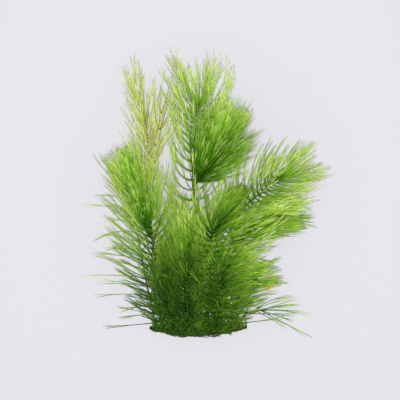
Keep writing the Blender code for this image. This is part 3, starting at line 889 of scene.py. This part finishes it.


# Each finish has a shaded, a half-lit and a lit ramp, which are painted shade and light. The pale tips are
# painted light coming through the leaf.
LEAF_FINISHES = {
    GREEN: leaf_finish(
        "green_leaf",
        shaded_old=[(0.0, (0.006, 0.022, 0.002)), (0.5, (0.011, 0.04, 0.003)), (1.0, (0.04, 0.11, 0.005))],
        half_lit=[(0.0, (0.025, 0.10, 0.003)), (0.4, (0.07, 0.19, 0.006)), (1.0, (0.22, 0.36, 0.03))],
        lit_young=[(0.0, (0.06, 0.17, 0.005)), (0.3, (0.14, 0.28, 0.01)), (0.75, (0.36, 0.49, 0.07)),
               (1.0, (0.74, 0.78, 0.46))]),
    DEEP: leaf_finish(
        "deep_green_leaf",
        shaded_old=[(0.0, (0.01, 0.04, 0.001)), (0.5, (0.03, 0.12, 0.002)), (0.8, (0.06, 0.18, 0.004)),
             (1.0, (0.42, 0.54, 0.16))],
        half_lit=[(0.0, (0.02, 0.09, 0.002)), (0.45, (0.06, 0.19, 0.004)), (0.7, (0.14, 0.29, 0.01)),
               (1.0, (0.42, 0.54, 0.14))],
        lit_young=[(0.0, (0.03, 0.13, 0.002)), (0.5, (0.12, 0.28, 0.006)), (0.75, (0.28, 0.46, 0.03)),
               (1.0, (0.66, 0.74, 0.34))]),
    PALE: leaf_finish(
        "pale_leaf",
        shaded_old=[(0.0, (0.04, 0.06, 0.005)), (0.5, (0.10, 0.14, 0.01)), (1.0, (0.22, 0.28, 0.05))],
        half_lit=[(0.0, (0.18, 0.19, 0.02)), (0.5, (0.27, 0.33, 0.04)), (1.0, (0.48, 0.53, 0.20))],
        lit_young=[(0.0, (0.24, 0.26, 0.03)), (0.5, (0.33, 0.40, 0.06)), (1.0, (0.56, 0.61, 0.30))]),
}
print("leaf finishes:", [finish.name for finish in LEAF_FINISHES.values()])

# %% [markdown]
# ## Stem colours
#
# A stem is paler where it is lit and turns darker at each swelling. Rings of dark colour could be painted
# at set distances, but the whorls aren't evenly spaced. The map already says how near the next one is, so
# it drives a mix of two colours. A third comes in with the daylight.

# %% Colour the stems
NODE_DEPTH = 0.7


def stem_finish(name, shaded, lit, node):
    """Stems: from shaded to lit with the map's tone, and towards the colour node at the whorls."""
    finish = Finish(name, roughness=0.5, specular=0.05)
    across, along = finish.pattern()
    skin = finish.mix((across / STEM_MAP_END).clamped(), (*shaded, 1.0), (*lit, 1.0))
    return finish.painted(finish.mix((along * NODE_DEPTH).clamped(), skin, (*node, 1.0)))


STEM_FINISHES = {
    GREEN: stem_finish("green_stem", (0.012, 0.035, 0.002), (0.03, 0.085, 0.004), (0.02, 0.05, 0.003)),
    PALE: stem_finish("pale_stem", (0.04, 0.06, 0.008), (0.36, 0.37, 0.06), (0.2, 0.15, 0.03)),
    OLD: stem_finish("old_stem", (0.02, 0.04, 0.003), (0.05, 0.07, 0.008), (0.015, 0.02, 0.003)),
}
print("stem finishes:", [finish.name for finish in STEM_FINISHES.values()])

# %% [markdown]
# ## The foliage
#
# Everything is ready, and each shoot is grown in turn: its line, its stem, its leaves, one mesh. The
# solid that it stands for is hidden. Each shoot has its own stream of random numbers, so one can be
# changed and the others stay.

# %% Grow every shoot
LEAVES_OF = {GREEN: GREEN, PALE: PALE, DEEP: DEEP, OLD: GREEN}
STEM_OF = {GREEN: GREEN, PALE: PALE, DEEP: GREEN, OLD: OLD}


def build_shoot(number, shoot):
    """A shoot's stem and leaves, in place of its solid. Its number on the list seeds its random draws."""
    rng = np.random.default_rng(number)
    line, length = stem_line(shoot.points)
    skins = [stem_skin(shoot, line, length), joined(leaf_skins(shoot, *grow(shoot, line, rng), rng))]
    materials = [STEM_FINISHES[STEM_OF[shoot.tint]], LEAF_FINISHES[LEAVES_OF[shoot.tint]]]
    piece = make_piece(f"{shoot.name}_foliage", skins, materials)
    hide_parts(shoot.name)
    return piece


foliage = [build_shoot(number, shoot) for number, shoot in enumerate(SHOOTS)]

# %% [markdown]
# ## A scrap of dead leaf
#
# A scrap of dead leaf is caught between the tall shoot and the dense one, a curled ball of brown shreds.
# A lump with a bumpy material would look like a pebble, so it is a few of the same needles, bent round,
# in a colour of their own. Each is darker at one end than at the other.

# %% Colour the dead leaf
def dead_leaf_finish():
    """Brown leaf: one ramp along each needle."""
    finish = Finish("dead_leaf", roughness=0.7, specular=0.05)
    along = finish.pattern()[1]
    return finish.painted(finish.ramp(along, [(0.0, (0.05, 0.07, 0.004)), (1.0, (0.15, 0.16, 0.015))]))


# %% [markdown]
# It has to rest on the leaves below it, seen from any side. Its height could be typed in, but then it
# would hang in the air as soon as a shoot is changed. So the height is read off the foliage that is
# already there. A single leaf tip may stand far above the rest, and it is passed over: the scrap rests on
# the height that most stay below.

# %% Find where the dead leaf rests
SCRAP_PLACE = np.array([0.7, 38.2]) - PLANT_MIDDLE[:2]
SCRAP_REACH, SHARE_BELOW = 1.5, 95


def top_of_foliage(place, reach):
    """The height, within reach of a place, that SHARE_BELOW per cent of the foliage's points stay below."""
    heights = []
    for piece in foliage:
        verts = np.empty(3 * len(piece.data.vertices), np.float32)
        piece.data.vertices.foreach_get("co", verts)
        verts = verts.reshape(-1, 3) / MILLIMETRE
        heights.append(verts[np.hypot(*(verts[:, :2] - place).T) < reach, 2])
    return np.percentile(np.concatenate(heights), SHARE_BELOW)


scrap_floor = top_of_foliage(SCRAP_PLACE, SCRAP_REACH)
print("the dead leaf rests at a height of", round(float(scrap_floor), 1), "mm")

# %% Curl up a scrap of dead leaf
SCRAP_NEEDLES = 26
SCRAP_BALL = 0.85 * np.array([1.1, 0.8, 0.5])
SCRAP_SINK = 0.5
CURL_RANGE = (1.2, 2.6)
SCRAP_MAP_LENGTH = 0.7


def curl_scrap():
    """Needles that follow great circles of a squashed ball: middle + ball * (cos t * u + sin t * v)."""
    rng = np.random.default_rng(len(SHOOTS))
    start, turned = unit(rng.normal(0, 1, (2, SCRAP_NEEDLES, 3)))
    turned = unit(turned - (turned * start).sum(axis=1, keepdims=True) * start)
    turn = LEAF_SHARE[None, :, None] * rng.uniform(*CURL_RANGE, (SCRAP_NEEDLES, 1, 1))
    around = np.cos(turn) * start[:, None] + np.sin(turn) * turned[:, None]
    middle = np.array([*SCRAP_PLACE, scrap_floor + SCRAP_SINK * SCRAP_BALL[2]])
    radii = np.broadcast_to(LEAF_RADIUS * LEAF_TAPER, around.shape[:2])
    tone = np.full(around.shape[:2], WITHERED_MAP)
    across = unit(rng.normal(0, 1, (SCRAP_NEEDLES, 3)))
    place = MAP_EDGE + SCRAP_MAP_LENGTH * LEAF_SHARE
    skin = needle_skins(middle + SCRAP_BALL * around, across, radii, tone, place)
    make_piece("dead_leaf_scrap", [skin], [dead_leaf_finish()])


curl_scrap()

# %% [markdown]
# ## Floor
#
# The plant lies on a plain pale floor. A plane from Blender's menu would do, but it comes scaled or
# turned by the settings of the moment, and four corners are quickly stated.

# %% Lay the floor
FLOOR_SIDE = 6.0
FLOOR_COLOUR = (0.335, 0.332, 0.352, 1.0)


def build_floor():
    """A square sheet at z = 0."""
    half = FLOOR_SIDE / 2
    corners = [(-half, -half, 0), (half, -half, 0), (half, half, 0), (-half, half, 0)]
    mesh = bpy.data.meshes.new("floor")
    mesh.from_pydata(corners, [], [(0, 1, 2, 3)])
    mesh.materials.append(Finish("floor", roughness=0.9, specular=0.2).painted(FLOOR_COLOUR))
    floor = bpy.data.objects.new("floor", mesh)
    bpy.context.scene.collection.objects.link(floor)
    print("floor:", FLOOR_SIDE, "m a side")


build_floor()

# %% [markdown]
# ## Light
#
# The leaves are a pixel wide in the picture, so a lamp at one side would put a grey shadow beside each of
# them and turn the whole plant muddy. The lamp is therefore small and stands straight above, beside the
# camera's line of sight, and an even pale sky fills in from all sides.

# %% Light the plant
VIEW_MIDDLE = MILLIMETRE * (np.array([-5.0, -3.0]) - PLANT_MIDDLE[:2])
LAMP_HEIGHT, LAMP_ASIDE, LAMP_SIDE, LAMP_POWER = 1.5, 0.02, 0.06, 43.0
SKY_STRENGTH = 0.45


def add_lamp():
    """A small square lamp over the plant, a little further up the picture than the camera, shining down."""
    light = bpy.data.lights.new("lamp", "AREA")
    light.shape, light.size, light.energy = "SQUARE", LAMP_SIDE, LAMP_POWER
    lamp = bpy.data.objects.new("lamp", light)
    lamp.location = (VIEW_MIDDLE[0], VIEW_MIDDLE[1] + LAMP_ASIDE, LAMP_HEIGHT)
    bpy.context.scene.collection.objects.link(lamp)
    print("lamp:", LAMP_POWER, "W at", LAMP_HEIGHT, "m")


def add_sky():
    """An even white sky, and the plain tone curve that keeps the picture's colours as they are."""
    world = bpy.data.worlds.new("studio")
    world.use_nodes = True
    sky = world.node_tree.nodes["Background"]
    sky.inputs["Color"].default_value = (1.0, 1.0, 1.0, 1.0)
    sky.inputs["Strength"].default_value = SKY_STRENGTH
    bpy.context.scene.world = world
    bpy.context.scene.view_settings.view_transform = "Standard"


add_lamp()
add_sky()

# %% [markdown]
# ## Camera
#
# The photograph looks at the plant square on and from some way off, so its near and far shoots are the
# same size. Here the plant lies down, and the camera hangs straight above it. A camera without
# perspective would be simpler, but a long lens keeps the little perspective that a real one has.

# %% Set the camera
CAMERA_HEIGHT = 1.0
VIEW_WIDTH = 0.2
VIEW_LEVEL = 0.02


def add_camera():
    """A long lens: its focal length makes VIEW_WIDTH fill the picture at the height VIEW_LEVEL."""
    lens = bpy.data.cameras.new("camera")
    lens.lens = lens.sensor_width * (CAMERA_HEIGHT - VIEW_LEVEL) / VIEW_WIDTH
    camera = bpy.data.objects.new("camera", lens)
    camera.location = (*VIEW_MIDDLE, CAMERA_HEIGHT)
    bpy.context.scene.collection.objects.link(camera)
    bpy.context.scene.camera = camera
    print("lens:", round(lens.lens, 1), "mm")


add_camera()
